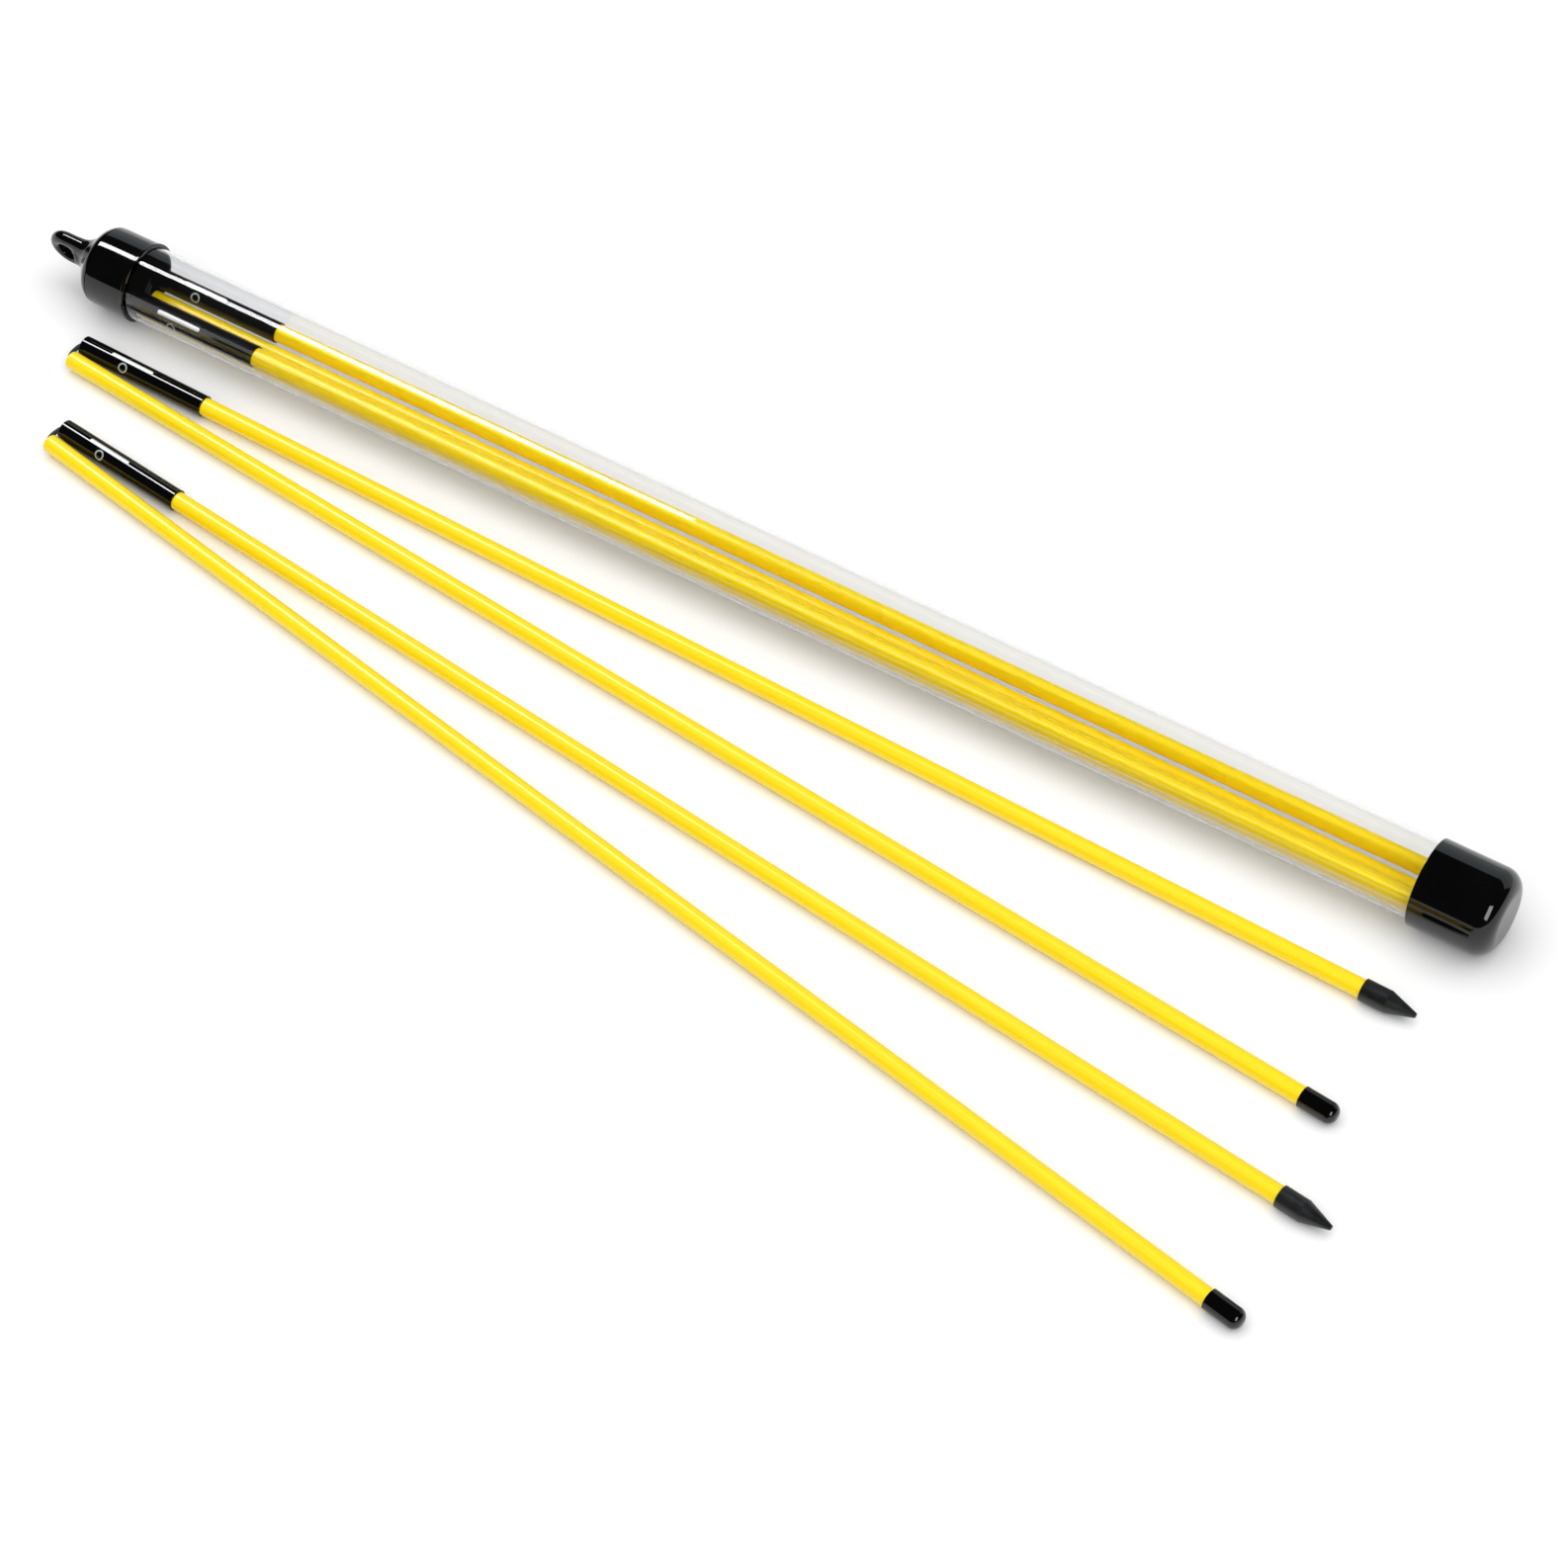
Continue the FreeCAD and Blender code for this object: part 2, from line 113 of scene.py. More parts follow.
def add_floor():
    """A wide pale disc under the set."""
    mesh = bpy.data.meshes.new("floor")
    turns = [math.tau * i / FLOOR_SIDES for i in range(FLOOR_SIDES)]
    rim = [(FLOOR_RADIUS * math.cos(turn), FLOOR_RADIUS * math.sin(turn), -FLOOR_DROP)
           for turn in turns]
    mesh.from_pydata(rim, [], [tuple(range(FLOOR_SIDES))])
    floor = bpy.data.objects.new("floor", mesh)
    bpy.context.scene.collection.objects.link(floor)
    material = bpy.data.materials.new("floor")
    material.use_nodes = True
    shader = material.node_tree.nodes["Principled BSDF"]
    shader.inputs["Base Color"].default_value = (0.90, 0.90, 0.90, 1)
    shader.inputs["Roughness"].default_value = 0.75
    shader.inputs["Specular IOR Level"].default_value = 0.2
    mesh.materials.append(material)


def add_softbox(name, place, target, size, power, colour=(1, 1, 1), glossy=True):
    """A rectangular lamp out of the camera's sight. It is seen in gloss or it lights, never both."""
    data = bpy.data.lights.new(name, "AREA")
    data.shape = "RECTANGLE"
    data.size, data.size_y = size
    data.energy = power
    data.color = colour
    light = bpy.data.objects.new(name, data)
    bpy.context.scene.collection.objects.link(light)
    light.location = place
    ahead = (Vector(target) - Vector(place)).normalized()
    side = Vector((1, 0, 0))
    side = (side - ahead * side.dot(ahead)).normalized()
    up = (-ahead).cross(side)
    light.rotation_euler = Matrix((side, up, -ahead)).transposed().to_euler()
    light.visible_camera = False
    light.visible_transmission = False
    light.visible_glossy = glossy
    light.visible_diffuse = not glossy


def add_light():
    """A faint world, three lamps for the highlights and a large one overhead for the light."""
    world = bpy.data.worlds.new("studio")
    world.use_nodes = True
    background = world.node_tree.nodes["Background"]
    background.inputs["Color"].default_value = (1, 1, 1, 1)
    background.inputs["Strength"].default_value = WORLD_LIGHT
    scene = bpy.context.scene
    scene.world = world
    scene.view_settings.view_transform = "Standard"
    scene.view_settings.look = "None"
    add_softbox("strip", (-1.15, 0.42, 1.6), (-0.3, 0.1, 0), (0.9, 0.34), 22)
    add_softbox("backdrop", (0, 2.6, 1.0), (0, 0, 0), (6, 2.0), 26, (0.86, 0.96, 1.0))
    add_softbox("side", (2.2, -1.2, 1.3), (0.3, 0, 0), (0.9, 1.5), 27, (1.0, 0.97, 0.92))
    add_softbox("fill", (0.2, -0.5, 3.2), (0, 0, 0), (9, 9), 430, glossy=False)


# ---------------------------------------------------------------- materials

# The range that a noise texture mostly keeps to
NOISE_LOW = 0.3
NOISE_HIGH = 0.7


def new_material(name):
    """A material with its node tree and its shader."""
    material = bpy.data.materials.new(name)
    material.use_nodes = True
    return material, material.node_tree, material.node_tree.nodes["Principled BSDF"]


def object_noise(tree, scale, stretch=(1, 1, 1), turn=0.0, detail=3.0, roughness=0.5):
    """Noise in the object's own metres, its grain turned about Z and stretched."""
    coordinates = tree.nodes.new("ShaderNodeTexCoord")
    turned = tree.nodes.new("ShaderNodeMapping")
    turned.vector_type = "TEXTURE"
    turned.inputs["Rotation"].default_value = (0, 0, turn)
    stretched = tree.nodes.new("ShaderNodeMapping")
    stretched.inputs["Scale"].default_value = stretch
    noise = tree.nodes.new("ShaderNodeTexNoise")
    noise.inputs["Scale"].default_value = scale
    noise.inputs["Detail"].default_value = detail
    noise.inputs["Roughness"].default_value = roughness
    tree.links.new(coordinates.outputs["Object"], turned.inputs["Vector"])
    tree.links.new(turned.outputs["Vector"], stretched.inputs["Vector"])
    tree.links.new(stretched.outputs["Vector"], noise.inputs["Vector"])
    return noise


def colour_between(tree, shader, noise, low, high):
    """Base colour that goes from low to high with the noise."""
    ramp = tree.nodes.new("ShaderNodeValToRGB")
    ramp.color_ramp.elements[0].position = NOISE_LOW
    ramp.color_ramp.elements[1].position = NOISE_HIGH
    ramp.color_ramp.elements[0].color = (*low, 1)
    ramp.color_ramp.elements[1].color = (*high, 1)
    tree.links.new(noise.outputs["Fac"], ramp.inputs["Fac"])
    tree.links.new(ramp.outputs["Color"], shader.inputs["Base Color"])


def roughness_between(tree, shader, noise, low, high):
    """Roughness that goes from low to high with the noise."""
    spread = tree.nodes.new("ShaderNodeMapRange")
    spread.inputs["From Min"].default_value = NOISE_LOW
    spread.inputs["From Max"].default_value = NOISE_HIGH
    spread.inputs["To Min"].default_value = low
    spread.inputs["To Max"].default_value = high
    tree.links.new(noise.outputs["Fac"], spread.inputs["Value"])
    tree.links.new(spread.outputs["Result"], shader.inputs["Roughness"])


def bumped(tree, shader, noise, strength, distance):
    """Small relief from the noise, its distance in metres."""
    bump = tree.nodes.new("ShaderNodeBump")
    bump.inputs["Strength"].default_value = strength
    bump.inputs["Distance"].default_value = distance
    tree.links.new(noise.outputs["Fac"], bump.inputs["Height"])
    tree.links.new(bump.outputs["Normal"], shader.inputs["Normal"])


def rod_material(name, heading):
    """Yellow fibreglass: fine fibres along the rod under a clear gloss."""
    material, tree, shader = new_material(name)
    fibres = object_noise(tree, 1.0, (14, 900, 900), heading, 4.0, 0.6)
    patches = object_noise(tree, 1.0, (9, 60, 60), heading, 2.0)
    colour_between(tree, shader, fibres, (0.92, 0.66, 0.0008), (0.97, 0.72, 0.0015))
    roughness_between(tree, shader, patches, 0.24, 0.34)
    bumped(tree, shader, fibres, 0.06, 0.0001)
    shader.inputs["Specular IOR Level"].default_value = 0.38
    shader.inputs["Coat Weight"].default_value = 0.25
    shader.inputs["Coat Roughness"].default_value = 0.12
    return material


def vinyl_material():
    """Dipped black vinyl: deep gloss with the slow ripple of a dipped skin."""
    material, tree, shader = new_material("black_vinyl")
    ripple = object_noise(tree, 160, detail=2.0)
    haze = object_noise(tree, 45, detail=3.0)
    colour_between(tree, shader, haze, (0.0002, 0.0002, 0.0003), (0.0008, 0.0008, 0.001))
    roughness_between(tree, shader, haze, 0.04, 0.08)
    bumped(tree, shader, ripple, 0.06, 0.0003)
    return material


def sleeve_material():
    """Gloss black painted sleeve."""
    material, tree, shader = new_material("black_sleeve")
    haze = object_noise(tree, 120, detail=3.0)
    colour_between(tree, shader, haze, (0.0003, 0.0003, 0.0006), (0.0008, 0.0008, 0.0014))
    roughness_between(tree, shader, haze, 0.05, 0.08)
    bumped(tree, shader, haze, 0.03, 0.0001)
    return material


def tip_material():
    """Semi-matte moulded plastic with a spark-eroded grain."""
    material, tree, shader = new_material("black_tip")
    grain = object_noise(tree, 2600, detail=3.0)
    patches = object_noise(tree, 300, detail=2.0)
    colour_between(tree, shader, patches, (0.005, 0.006, 0.0065), (0.010, 0.011, 0.012))
    roughness_between(tree, shader, patches, 0.30, 0.40)
    bumped(tree, shader, grain, 0.25, 0.0001)
    return material


def tube_material():
    """Clear extruded tube with faint die lines. Lamps reach what is inside it."""
    material, tree, shader = new_material("clear_tube")
    lines = object_noise(tree, 1.0, (1.5, 420, 420), 0.0, 3.0)
    haze = object_noise(tree, 1.0, (6, 90, 90), 0.0, 3.0)
    shader.inputs["Base Color"].default_value = (0.965, 0.967, 0.972, 1)
    shader.inputs["Transmission Weight"].default_value = 1.0
    shader.inputs["IOR"].default_value = 1.46
    roughness_between(tree, shader, haze, 0.0, 0.03)
    bumped(tree, shader, lines, 0.05, 0.0001)
    path = tree.nodes.new("ShaderNodeLightPath")
    clear = tree.nodes.new("ShaderNodeBsdfTransparent")
    clear.inputs["Color"].default_value = (0.99, 0.99, 0.99, 1)
    mix = tree.nodes.new("ShaderNodeMixShader")
    output = tree.nodes["Material Output"]
    tree.links.new(path.outputs["Is Shadow Ray"], mix.inputs["Fac"])
    tree.links.new(shader.outputs["BSDF"], mix.inputs[1])
    tree.links.new(clear.outputs["BSDF"], mix.inputs[2])
    tree.links.new(mix.outputs["Shader"], output.inputs["Surface"])
    return material


def cord_material():
    """Black braided elastic."""
    material, tree, shader = new_material("elastic_cord")
    braid = object_noise(tree, 2200, detail=2.0)
    colour_between(tree, shader, braid, (0.006, 0.006, 0.007), (0.03, 0.03, 0.032))
    shader.inputs["Roughness"].default_value = 0.75
    shader.inputs["Sheen Weight"].default_value = 0.3
    bumped(tree, shader, braid, 0.6, 0.0002)
    return material


def anchor_material():
    """Pale moulded plastic."""
    material, tree, shader = new_material("anchor_plastic")
    grain = object_noise(tree, 900, detail=2.0)
    colour_between(tree, shader, grain, (0.55, 0.54, 0.50), (0.62, 0.60, 0.56))
    roughness_between(tree, shader, grain, 0.4, 0.5)
    return material


def ink_material(name, colour):
    """Screen-printed ink."""
    material, tree, shader = new_material(name)
    grain = object_noise(tree, 1500, detail=3.0)
    darker = tuple(0.88 * part for part in colour)
    colour_between(tree, shader, grain, darker, colour)
    roughness_between(tree, shader, grain, 0.3, 0.45)
    bumped(tree, shader, grain, 0.08, 0.0001)
    return material


# ---------------------------------------------------------------- geometry helpers

def stick_frame(stick):
    """The sleeve's mouth, the stick's direction, and the level direction to its left."""
    along = (middle(f"{stick}_point_rod") - middle(f"{stick}_sleeve")).normalized()
    left = Vector((0, 0, 1)).cross(along).normalized()
    return middle(f"{stick}_sleeve") - along * (SLEEVE_LENGTH / 2), along, left


def cap_frame(stick):
    """The cap rod's open end and its direction."""
    along = (middle(f"{stick}_round_cap") - middle(f"{stick}_cap_rod")).normalized()
    low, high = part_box(f"{stick}_cap_rod")
    centre = (low + high) / 2
    half = ((high.x - low.x) / 2 - ROD_RADIUS * abs(along.y)) / along.x
    return centre - along * half, along


def new_object(name, mesh, material):
    """A smooth-shaded piece with one material."""
    piece = bpy.data.objects.new(name, mesh)
    bpy.context.scene.collection.objects.link(piece)
    mesh.materials.append(material)
    for polygon in mesh.polygons:
        polygon.use_smooth = True
    return piece


def wrap_outline(name, stick, rings, material, centre_along, centre_angle):
    """A thin printed patch on a sleeve. rings are closed outlines in (along, around) metres."""
    mouth, along, left = stick_frame(stick)
    up = along.cross(left)
    flat = bmesh.new()
    edges = []
    for ring in rings:
        verts = [flat.verts.new((u, v, 0)) for u, v in ring]
        edges += [flat.edges.new((verts[i], verts[(i + 1) % len(verts)])) for i in range(len(verts))]
    bmesh.ops.triangle_fill(flat, edges=edges, use_beauty=True)
    bmesh.ops.subdivide_edges(flat, edges=flat.edges, cuts=1)
    faces = list(flat.faces)
    extruded = bmesh.ops.extrude_face_region(flat, geom=faces)
    top = [item for item in extruded["geom"] if isinstance(item, bmesh.types.BMVert)]
    for vert in flat.verts:
        vert.co.z = 0.0
    for vert in top:
        vert.co.z = 1.0
    bmesh.ops.recalc_face_normals(flat, faces=flat.faces)
    for vert in flat.verts:
        u, v, layer = vert.co
        radius = SLEEVE_RADIUS + (INK_RISE if layer > 0.5 else -INK_SINK)
        angle = centre_angle + v / SLEEVE_RADIUS
        outward = left * math.cos(angle) + up * math.sin(angle)
        vert.co = mouth + along * (centre_along + u) + outward * radius
    mesh = bpy.data.meshes.new(name)
    flat.to_mesh(mesh)
    flat.free()
    return new_object(name, mesh, material)


def bar_outline(length, width, corner_points=6):
    """A bar with round ends."""
    radius = width / 2
    points = []
    for side in (1, -1):
        for i in range(corner_points + 1):
            angle = side * math.pi / 2 - math.pi * i / corner_points
            points.append((side * (length / 2 - radius) + radius * math.cos(angle),
                           radius * math.sin(angle)))
    return dense(points)


def dense(points, step=0.0006):
    """The outline with points added along its long edges."""
    result = []
    for here, there in zip(points, points[1:] + points[:1]):
        length = math.dist(here, there)
        parts = max(1, round(length / step))
        for i in range(parts):
            share = i / parts
            result.append((here[0] + (there[0] - here[0]) * share,
                           here[1] + (there[1] - here[1]) * share))
    return result


def circle_outline(radius, points=28):
    """A circle about the origin."""
    return [(radius * math.cos(math.tau * i / points), radius * math.sin(math.tau * i / points))
            for i in range(points)]


# ---------------------------------------------------------------- cord loops

def smooth_route(points, steps):
    """Points along the open NURBS spline of order 3 that these control points make."""
    curve = bpy.data.curves.new("route", "CURVE")
    curve.dimensions = "3D"
    curve.resolution_u = steps
    spline = curve.splines.new("NURBS")
    spline.points.add(len(points) - 1)
    for place, point in zip(spline.points, points):
        place.co = (*point, 1)
    spline.order_u = 3
    spline.use_endpoint_u = True
    holder = bpy.data.objects.new("route", curve)
    bpy.context.scene.collection.objects.link(holder)
    line = bpy.data.meshes.new_from_object(holder)
    route = [vert.co.copy() for vert in line.vertices]
    bpy.data.objects.remove(holder)
    bpy.data.curves.remove(curve)
    bpy.data.meshes.remove(line)
    return route


def evenly(route, step):
    """The same line with its points a step apart."""
    marks = [0.0]
    for here, there in zip(route, route[1:]):
        marks.append(marks[-1] + (there - here).length)
    count = max(2, round(marks[-1] / step))
    places = []
    index = 0
    for i in range(count + 1):
        mark = marks[-1] * i / count
        while index < len(marks) - 2 and marks[index + 1] < mark:
            index += 1
        share = (mark - marks[index]) / (marks[index + 1] - marks[index])
        places.append(route[index].lerp(route[index + 1], share))
    return places


def close_rows(mesh, rows):
    """Faces between each ring of vertices and the next."""
    for first, second in zip(rows, rows[1:]):
        for k in range(len(first)):
            after = (k + 1) % len(first)
            mesh.faces.new((first[k], first[after], second[after], second[k]))


def braided_tube(name, route, radius, material):
    """A closed tube along a route, its skin raised and sunk where the braid's strands cross."""
    step = BRAID_PITCH / BRAID_ROWS
    places = evenly(route, step)
    mesh = bmesh.new()
    rows = []
    up = Vector((0, 0, 1))
    for i, place in enumerate(places):
        ahead = (places[min(i + 1, len(places) - 1)] - places[max(i - 1, 0)]).normalized()
        left = up.cross(ahead).normalized()
        over = ahead.cross(left)
        row = []
        phase = math.tau * i * step / BRAID_PITCH
        for k in range(CORD_SIDES):
            angle = math.tau * k / CORD_SIDES
            weave = math.sin(BRAID_STRANDS * angle + phase) * math.sin(BRAID_STRANDS * angle - phase)
            reach = radius - BRAID_DEPTH / 2 + BRAID_DEPTH / 2 * weave
            row.append(mesh.verts.new(place + reach * (left * math.cos(angle) + over * math.sin(angle))))
        rows.append(row)
    close_rows(mesh, rows)
    mesh.faces.new(rows[0])
    mesh.faces.new(rows[-1][::-1])
    bmesh.ops.recalc_face_normals(mesh, faces=mesh.faces)
    data = bpy.data.meshes.new(name)
    mesh.to_mesh(data)
    mesh.free()
    return new_object(name, data, material)


def add_cord_loop(stick):
    """The elastic cord between the two rods, from inside the sleeve round into the cap rod, carried by
    the cord's body.
    """
    mouth, along, _ = stick_frame(stick)
    cap_mouth, cap_along = cap_frame(stick)
    route = [mouth + along * SOCKET_DEPTH,
             mouth + along * SOCKET_DEPTH / 2,
             mouth + along * CORD_RADIUS,
             mouth - along * (CORD_REACH + CORD_RADIUS),
             cap_mouth - cap_along * (CORD_REACH + CORD_RADIUS),
             cap_mouth + cap_along * CORD_REACH]
    loop = braided_tube(f"{stick}_elastic_loop", smooth_route(route, 24), CORD_RADIUS, cord_cloth)
    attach(loop, f"{stick}_cord")
    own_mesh(loop)
    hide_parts(f"{stick}_cord_loop")


# ---------------------------------------------------------------- hanger cap
# Its sizes are in millimetres: x from the cap's mouth towards the eye, y in the eye's plane and z
# along the eye's hole.

MM = 0.001
CAP_BORE = 15.925
CAP_BEAD = 17.2
CAP_BARREL = 16.8
CAP_DEPTH = 18.0
BEAD_WIDTH = 1.6
BEAD_ROUND = 0.35
SHOULDER_START = 18.3
SHOULDER_ROUND = 6.0
SHOULDER_SLOPE = math.radians(51.3)
HOLLOW_START = (28.0, 8.3)
HOLLOW_RADIUS = 9.0
HOLLOW_SLOPE = math.radians(12)
NECK_END = 34.7
NECK_POINT = 1.8
EYE_MIDDLE = 39.3
EYE_RING = 6.4
EYE_THICK = 2.9
STRAND_START = 25.0
EYE_HOLE = 4.3
NECK_BLEND = 4.0
HOLE_BLEND = 1.2
SEAM = 19.5               # where the turned barrel and the settled head meet
OVERLAP = 3.0             # how far the rough head reaches back past the seam
GRAIN = 0.45              # voxel of the rough head
CREASE = math.radians(40)
BARREL_SIDES = 192
HEAD_SIDES = 96
ARC_PARTS = 24
RING_SIDES = 32
RING_PARTS = 96


def arc(centre, radius, start, end, parts):
    """Points on an arc. An angle is measured from +x towards +r."""
    return [(centre[0] + radius * math.cos(start + (end - start) * i / parts),
             centre[1] + radius * math.sin(start + (end - start) * i / parts))
            for i in range(parts + 1)]


def shoulder_outline():
    """(x, r) from the barrel over the shoulder and down the hollow to the neck's end."""
    up = math.pi / 2
    points = arc((SHOULDER_START, CAP_BARREL - SHOULDER_ROUND), SHOULDER_ROUND,
                 up, up - SHOULDER_SLOPE, ARC_PARTS)
    start = up + math.pi - SHOULDER_SLOPE
    middle_x = HOLLOW_START[0] - HOLLOW_RADIUS * math.cos(start)
    middle_r = HOLLOW_START[1] - HOLLOW_RADIUS * math.sin(start)
    end = up + math.pi - HOLLOW_SLOPE
    points += arc((middle_x, middle_r), HOLLOW_RADIUS, start, end, ARC_PARTS)
    return points


def smooth_less(a, b, width):
    """The lesser of two distances, rounded over where they are about the same."""
    share = np.clip(0.5 + 0.5 * (b - a) / width, 0, 1)
    return b * (1 - share) + a * share - width * share * (1 - share)


def outline_distance(x, r, outline):
    """Distance from the turned solid under an outline, negative inside."""
    best = np.full(x.shape, np.inf)
    for (x0, r0), (x1, r1) in zip(outline, outline[1:]):
        dx, dr = x1 - x0, r1 - r0
        share = np.clip(((x - x0) * dx + (r - r0) * dr) / (dx * dx + dr * dr), 0, 1)
        best = np.minimum(best, np.hypot(x - x0 - share * dx, r - r0 - share * dr))
    xs, rs = np.array(outline).T
    inside = (x < xs[-1]) & (r < np.interp(x, xs, rs))
    return np.where(inside, -best, best)


def cap_distance(points, outline):
    """How far points lie outside the cap's shoulder, neck and eye, which blend into each other."""
    x, y, z = points.T
    turned = outline_distance(x, np.hypot(y, z), outline)
    round_hole = np.hypot(x - EYE_MIDDLE, y)
    ring = np.hypot(round_hole - EYE_RING, z) - EYE_THICK
    beyond = np.maximum(np.maximum(STRAND_START - x, x - EYE_MIDDLE), 0)
    strands = np.hypot(np.hypot(np.abs(y) - EYE_RING, z), beyond) - EYE_THICK
    solid = smooth_less(turned, np.minimum(ring, strands), NECK_BLEND)
    return -smooth_less(-solid, round_hole - EYE_HOLE, HOLE_BLEND)


def settle(points, outline, rounds=6):
    """Move points onto the surface."""
    nudge = 0.01
    for _ in range(rounds):
        here = cap_distance(points, outline)
        slope = np.stack([(cap_distance(points + nudge * side, outline) - here) / nudge
                          for side in np.eye(3)], 1)
        size = np.maximum((slope ** 2).sum(1), 0.2)
        points = points - slope * (here / size)[:, None]
    return points


def turned_rows(mesh, outline, sides):
    """An outline of (x, r) turned about the X axis, open at both ends."""
    turns = [math.tau * k / sides for k in range(sides)]
    rows = [[mesh.verts.new((x, r * math.cos(turn), r * math.sin(turn))) for turn in turns]
            for x, r in outline]
    close_rows(mesh, rows)
    return rows


def add_rough_ring(mesh):
    """The eye's ring, about the middle of its hole."""
    rows = []
    for i in range(RING_PARTS):
        turn = math.tau * i / RING_PARTS
        row = []
        for k in range(RING_SIDES):
            angle = math.tau * k / RING_SIDES
            reach = EYE_RING + EYE_THICK * math.cos(angle)
            row.append(mesh.verts.new((EYE_MIDDLE + reach * math.cos(turn), reach * math.sin(turn),
                                       EYE_THICK * math.sin(angle))))
        rows.append(row)
    close_rows(mesh, [*rows, rows[0]])


def add_rough_strands(mesh):
    """The two straight strands from the shoulder to the sides of the ring."""
    for side in (-1, 1):
        centre = ((STRAND_START + EYE_MIDDLE) / 2, side * EYE_RING, 0)
        place = Matrix.Translation(centre) @ Matrix.Rotation(math.pi / 2, 4, "Y")
        bmesh.ops.create_cone(mesh, cap_ends=True, segments=RING_SIDES, radius1=EYE_THICK,
                              radius2=EYE_THICK, depth=EYE_MIDDLE - STRAND_START, matrix=place)


def rough_head(outline):
    """The shoulder, neck and eye as one voxel mesh that settles onto the smooth shape."""
    mesh = bmesh.new()
    head = [point for point in outline if point[0] > SEAM]
    rows = turned_rows(mesh, [(SEAM - OVERLAP, CAP_BARREL), *head, (NECK_END, NECK_POINT)], HEAD_SIDES)
    mesh.faces.new(rows[0])
    mesh.faces.new(rows[-1][::-1])
    add_rough_ring(mesh)
    add_rough_strands(mesh)
    bmesh.ops.recalc_face_normals(mesh, faces=mesh.faces)
    data = bpy.data.meshes.new("rough_head")
    mesh.to_mesh(data)
    mesh.free()
    holder = bpy.data.objects.new("rough_head", data)
    bpy.context.scene.collection.objects.link(holder)
    remesh = holder.modifiers.new("voxels", "REMESH")
    remesh.mode = "VOXEL"
    remesh.voxel_size = GRAIN
    held = bpy.context.evaluated_depsgraph_get()
    result = bpy.data.meshes.new_from_object(holder.evaluated_get(held))
    bpy.data.objects.remove(holder)
    return result


def barrel_outline(outline):
    """(x, r) of the cup: its floor and bore from inside, the bead, and the skin up to the seam."""
    inside = [(CAP_DEPTH, r) for r in (0.4, 8.0, CAP_BORE)] + [(8.0, CAP_BORE), (0, CAP_BORE)]
    bead_r = CAP_BEAD - BEAD_ROUND
    bead = arc((BEAD_ROUND, bead_r), BEAD_ROUND, math.pi, math.pi / 2, 6)
    bead += arc((BEAD_WIDTH - BEAD_ROUND, bead_r), BEAD_ROUND, math.pi / 2, 0.15, 6)
    skin = [(x, CAP_BARREL) for x in (BEAD_WIDTH + 0.1, 6.0, 12.0, SHOULDER_START)]
    seam_r = float(np.interp(SEAM, *np.array([(0, CAP_BARREL), *outline]).T))
    return [*inside, *bead, *skin, (SEAM, seam_r)]


def cap_place():
    """From the hanger cap's own frame in millimetres to the set's."""
    eye = next(mount for mount in frame["record"]["mounts"] if mount["name"] == "hanging_eye")
    through = Vector(eye["axis"])
    outward = Vector((-1, 0, 0))
    across = through.cross(outward)
    _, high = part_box("hanger_cap")
    mouth = Vector((high.x, *middle("storage_tube").yz))
    turn = Matrix((outward, across, through)).transposed().to_4x4()
    return Matrix.Translation(mouth) @ turn @ Matrix.Scale(MM, 4)


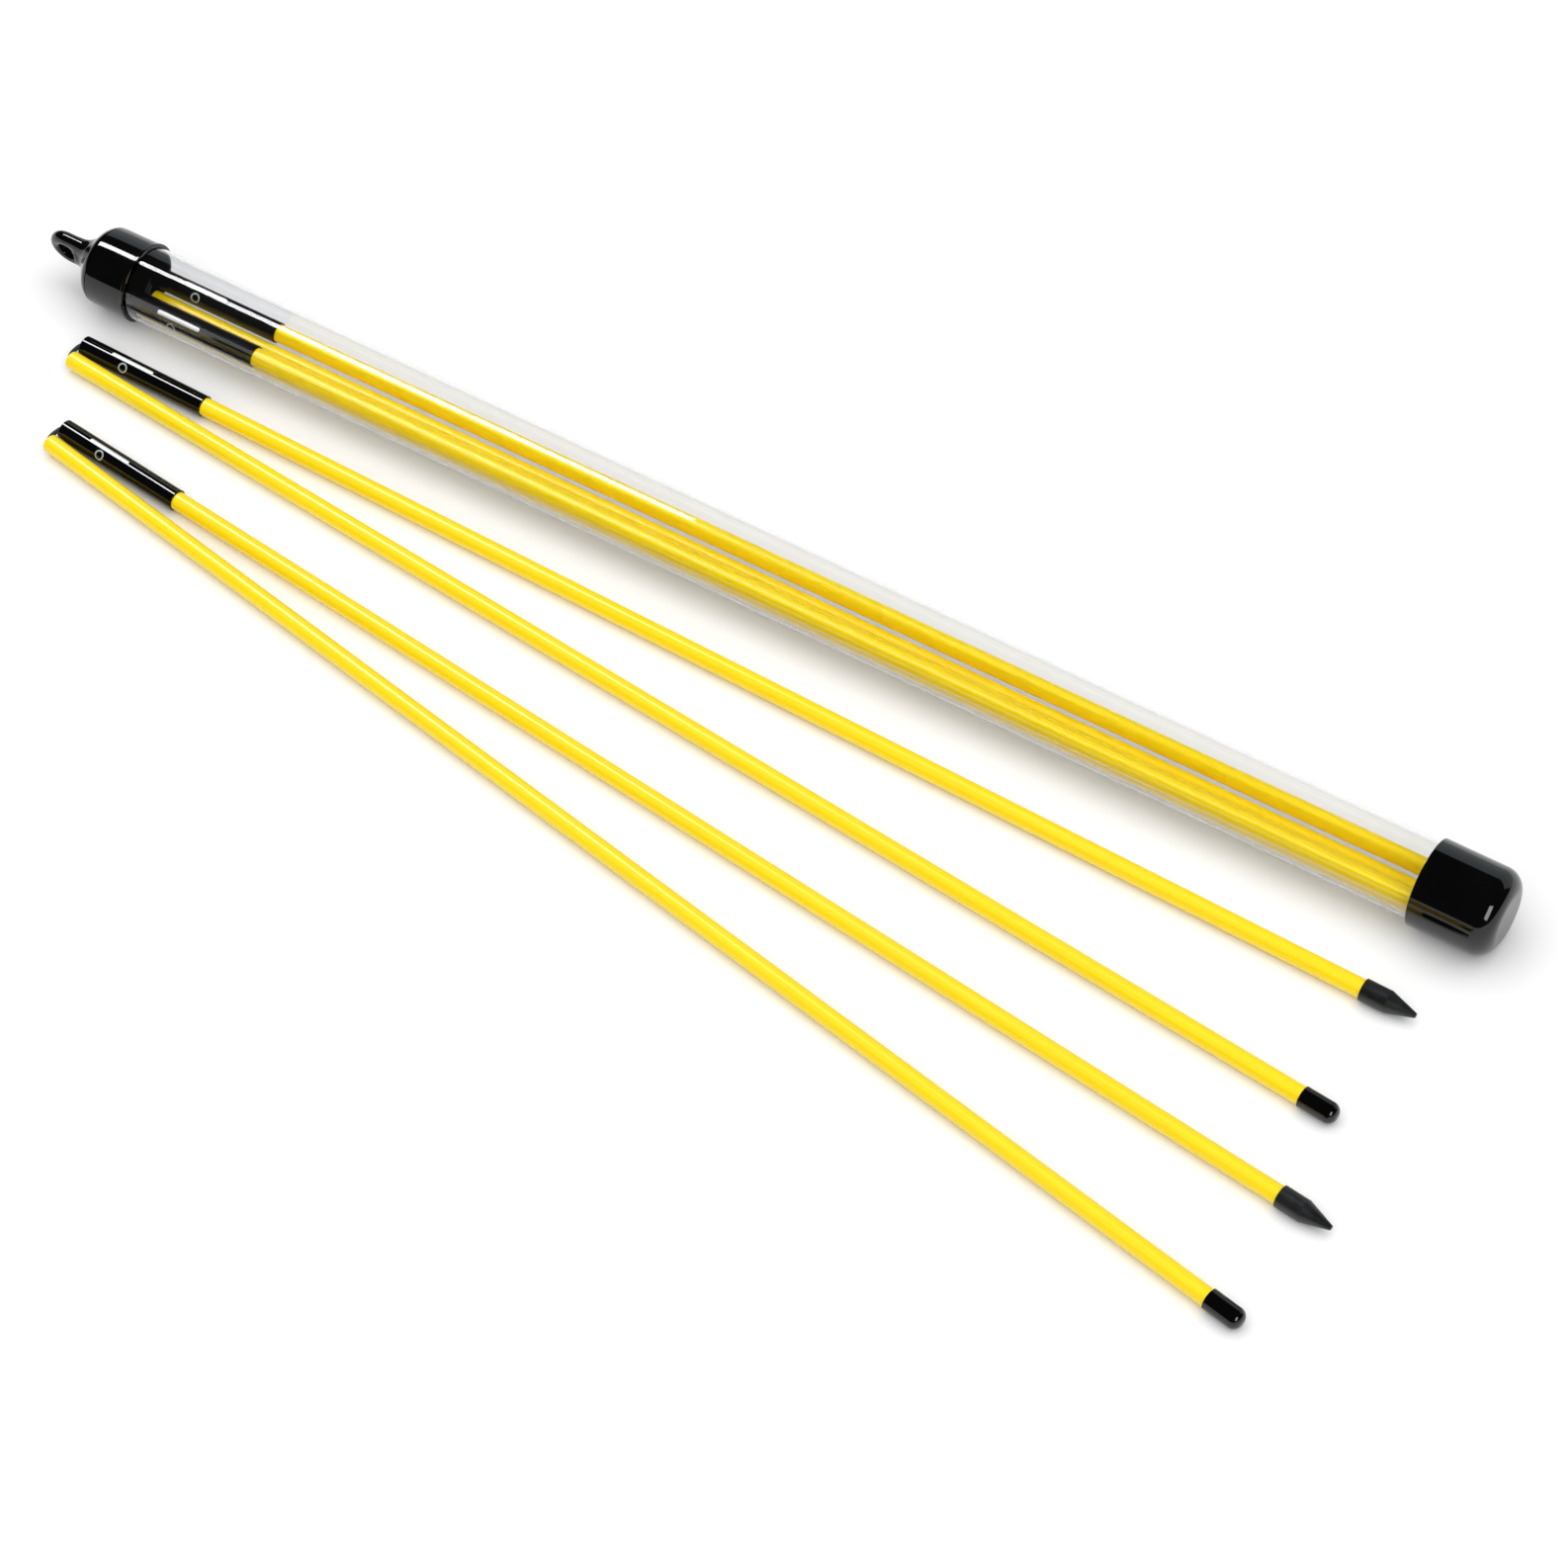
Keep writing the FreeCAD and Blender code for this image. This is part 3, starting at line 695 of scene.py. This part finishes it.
def add_hanger_skin():
    """Dipped vinyl cap: barrel with a bead at its mouth, and a shoulder that runs into the eye."""
    outline = shoulder_outline()
    whole = [(0, CAP_BARREL), *outline, (NECK_END, NECK_POINT), (NECK_END, 0)]
    data = rough_head(outline)
    points = np.empty(len(data.vertices) * 3)
    data.vertices.foreach_get("co", points)
    points = settle(points.reshape(-1, 3), whole)
    data.vertices.foreach_set("co", points.ravel())
    mesh = bmesh.new()
    mesh.from_mesh(data)
    everything = list(mesh.verts) + list(mesh.edges) + list(mesh.faces)
    bmesh.ops.bisect_plane(mesh, geom=everything, plane_co=(SEAM + GRAIN, 0, 0), plane_no=(1, 0, 0),
                           clear_inner=True)
    rim = [edge for edge in mesh.edges if edge.is_boundary]
    rows = turned_rows(mesh, barrel_outline(outline), BARREL_SIDES)
    mesh.faces.new(rows[0])
    last = [mesh.edges.get(pair) for pair in zip(rows[-1], rows[-1][1:] + rows[-1][:1])]
    bmesh.ops.bridge_loops(mesh, edges=rim + last)
    bmesh.ops.recalc_face_normals(mesh, faces=mesh.faces)
    mesh.to_mesh(data)
    mesh.free()
    data.transform(cap_place())
    data.name = "hanger_skin"
    data.set_sharp_from_angle(angle=CREASE)
    skin = new_object("hanger_skin", data, vinyl)
    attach(skin, "hanger_cap")
    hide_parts("hanger_cap")


# ---------------------------------------------------------------- build

def give(name, material):
    """Put one material on a node."""
    nodes[name].data.materials.clear()
    nodes[name].data.materials.append(material)


add_camera()
add_floor()
add_light()

vinyl = vinyl_material()
sleeve_paint = sleeve_material()
tip_plastic = tip_material()
clear = tube_material()
cord_cloth = cord_material()
anchor_plastic = anchor_material()
white_ink = ink_material("white_ink", (0.85, 0.86, 0.87))
grey_ink = ink_material("grey_ink", (0.36, 0.40, 0.38))

for stick in LAID + STORED:
    _, along, _ = stick_frame(stick)
    _, cap_along = cap_frame(stick)
    point_yellow = rod_material(f"{stick}_point_yellow", math.atan2(along.y, along.x))
    cap_yellow = rod_material(f"{stick}_cap_yellow", math.atan2(cap_along.y, cap_along.x))
    looks = {"point_rod": point_yellow, "cap_rod": cap_yellow, "sleeve": sleeve_paint,
             "point_tip": tip_plastic, "round_cap": vinyl, "point_anchor": anchor_plastic,
             "cap_anchor": anchor_plastic, "point_cord": cord_cloth, "cord_loop": cord_cloth,
             "cap_cord": cord_cloth, "cord": cord_cloth}
    for part, material in looks.items():
        if f"{stick}_{part}" in nodes:
            give(f"{stick}_{part}", material)
give("storage_tube", clear)
for name in ("hanger_cap", "end_cap"):
    give(name, vinyl)

# Where the bar and the ring are printed round each sleeve, in degrees from its left over its top.
PRINTS = {"mid": (93, 140), "front": (93, 140),
          "stored_rear": (89, 148), "stored_front": (128, 186)}
for stick, (bar_angle, ring_angle) in PRINTS.items():
    bar = wrap_outline(f"{stick}_bar", stick, [bar_outline(BAR_LENGTH, BAR_WIDTH)], white_ink,
                       BAR_PLACE, math.radians(bar_angle))
    ring = wrap_outline(f"{stick}_ring", stick,
                        [circle_outline(RING_OUTER), circle_outline(RING_INNER)],
                        grey_ink, RING_PLACE, math.radians(ring_angle))
    for piece in (bar, ring):
        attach(piece, f"{stick}_stick")

for stick in LAID:
    add_cord_loop(stick)
add_hanger_skin()
